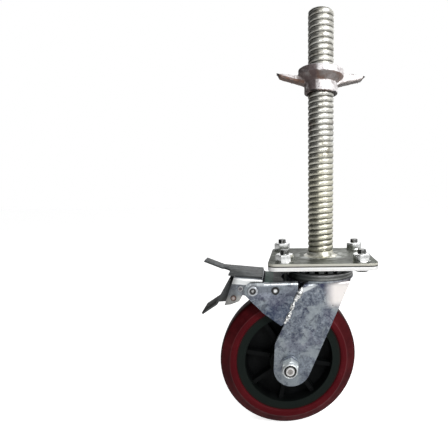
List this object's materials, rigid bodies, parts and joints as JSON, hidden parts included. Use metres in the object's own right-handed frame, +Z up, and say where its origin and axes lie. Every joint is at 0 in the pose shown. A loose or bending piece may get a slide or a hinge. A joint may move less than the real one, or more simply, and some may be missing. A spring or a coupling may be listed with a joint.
{
  "type": "scaffold castor",
  "caption": "Braked swivel castor for a scaffold leg, bolted under a threaded jack stem with a wing nut for setting its height.",
  "frame": {"origin": "on the stem's axis, in the plane of the wing nut's top face where the scaffold tube sits", "axes": "+Z up the stem's axis out of its free end; at rest the wheel trails towards -X, the brake pedal is at the -X end, and the axle lies along Y"},
  "size_m": [0.2536, 0.1306, 0.606],
  "materials": {
    "stem_steel": "hot-dip galvanised, dull, with a rolled thread",
    "plate_steel": "galvanised plate, dull",
    "cast_nut": "cast and galvanised, rough",
    "zinc_steel": "pressed sheet with mottled zinc plating",
    "bolt_zinc": "bright zinc-plated fastener",
    "weld_metal": "lumpy weld under zinc",
    "ball_steel": "hardened steel",
    "dark_steel": "dark grey passivated steel",
    "tyre": "maroon polyurethane, satin",
    "rim_plastic": "black moulded core",
    "shoe_rubber": "brake pad"
  },
  "bodies": {
    "jack": {"threaded_stem": "stem_steel", "stem_weld": "stem_steel", "base_plate": "plate_steel", "castor_plate": "plate_steel", "lock_ring": "dark_steel", "top_race": "zinc_steel", "kingpin": "dark_steel", "kingpin_nut": "zinc_steel", "lower_cup": "zinc_steel", "plate_bolts": "bolt_zinc", "plate_nuts": "bolt_zinc", "plate_washers": "bolt_zinc"},
    "wing_nut": {"wing_nut": "cast_nut"},
    "fork": {"fork": "zinc_steel", "crown_race": "zinc_steel", "dust_ring": "zinc_steel", "upper_balls": "ball_steel", "lower_balls": "ball_steel", "brake_bracket": "zinc_steel", "bracket_welds": "weld_metal", "pivot_rivets": "bolt_zinc", "fulcrum_pin": "bolt_zinc", "axle_bolt": "bolt_zinc", "axle_nut": "bolt_zinc", "axle_washers": "bolt_zinc", "axle_sleeve": "zinc_steel"},
    "wheel": {"tyre": "tyre", "rim": "rim_plastic", "wheel_bearings": "ball_steel"},
    "pedal": {"pedal": "zinc_steel", "release_plate": "dark_steel", "lock_lever": "dark_steel", "lever_pin": "bolt_zinc", "roller_pin": "bolt_zinc", "cam_roller": "dark_steel"},
    "brake": {"brake_arm": "dark_steel", "brake_shoe": "shoe_rubber"}
  },
  "joints": [
    {"name": "nut_slide", "type": "slide", "parent": "jack", "child": "wing_nut", "axis": [0, 0, 1], "range_m": [-0.226, 0.08]},
    {"name": "swivel", "type": "hinge", "parent": "jack", "child": "fork", "pos_m": [0, 0, 0], "axis": [0, 0, 1], "continuous": true},
    {"name": "wheel_spin", "type": "hinge", "parent": "fork", "child": "wheel", "pos_m": [-0.049, 0, -0.4235], "axis": [0, 1, 0], "continuous": true},
    {"name": "pedal_hinge", "type": "hinge", "parent": "fork", "child": "pedal", "pos_m": [-0.1, 0, -0.3143], "axis": [0, -1, 0], "range_deg": [0, 22]},
    {"name": "brake_hinge", "type": "hinge", "parent": "fork", "child": "brake", "pos_m": [-0.0686, 0, -0.3148], "axis": [0, -1, 0], "range_deg": [0, 7.71]}
  ],
  "couplings": [
    {"joint": "brake_hinge", "follows": "pedal_hinge", "ratio": 0.35}
  ]
}
